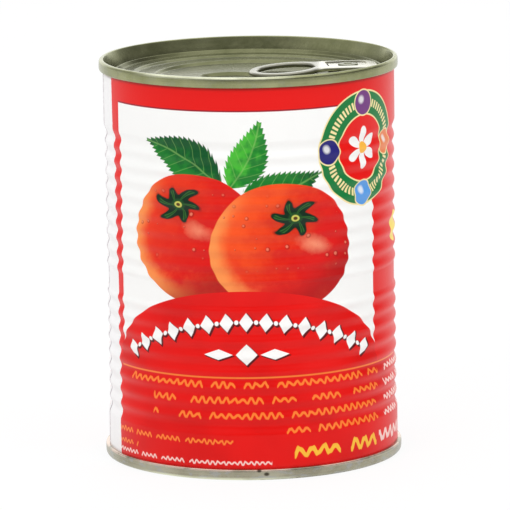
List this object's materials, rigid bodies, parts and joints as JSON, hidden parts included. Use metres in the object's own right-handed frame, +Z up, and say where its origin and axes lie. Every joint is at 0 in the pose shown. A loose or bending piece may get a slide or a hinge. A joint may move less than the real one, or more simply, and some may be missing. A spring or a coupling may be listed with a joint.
{
  "type": "food can",
  "caption": "Full steel food can of tomato paste with a beaded printed wall, double seams and a ring-pull lid.",
  "frame": {"origin": "centre of the base, in the plane the lower seam stands on", "axes": "+Z up along the can's axis, -Y towards the front of the print, the ring pull lies near +X"},
  "size_m": [0.0864, 0.0864, 0.1159],
  "materials": {
    "printed_wall": "gloss lacquered print on steel",
    "lid_steel": "satin, clear olive-gold lacquer",
    "tab_steel": "bright satin",
    "base_steel": "satin, clear olive-gold lacquer"
  },
  "bodies": {
    "root": {"body": "printed_wall", "lid": "lid_steel", "tab": "tab_steel", "base_end": "base_steel"}
  },
  "joints": []
}
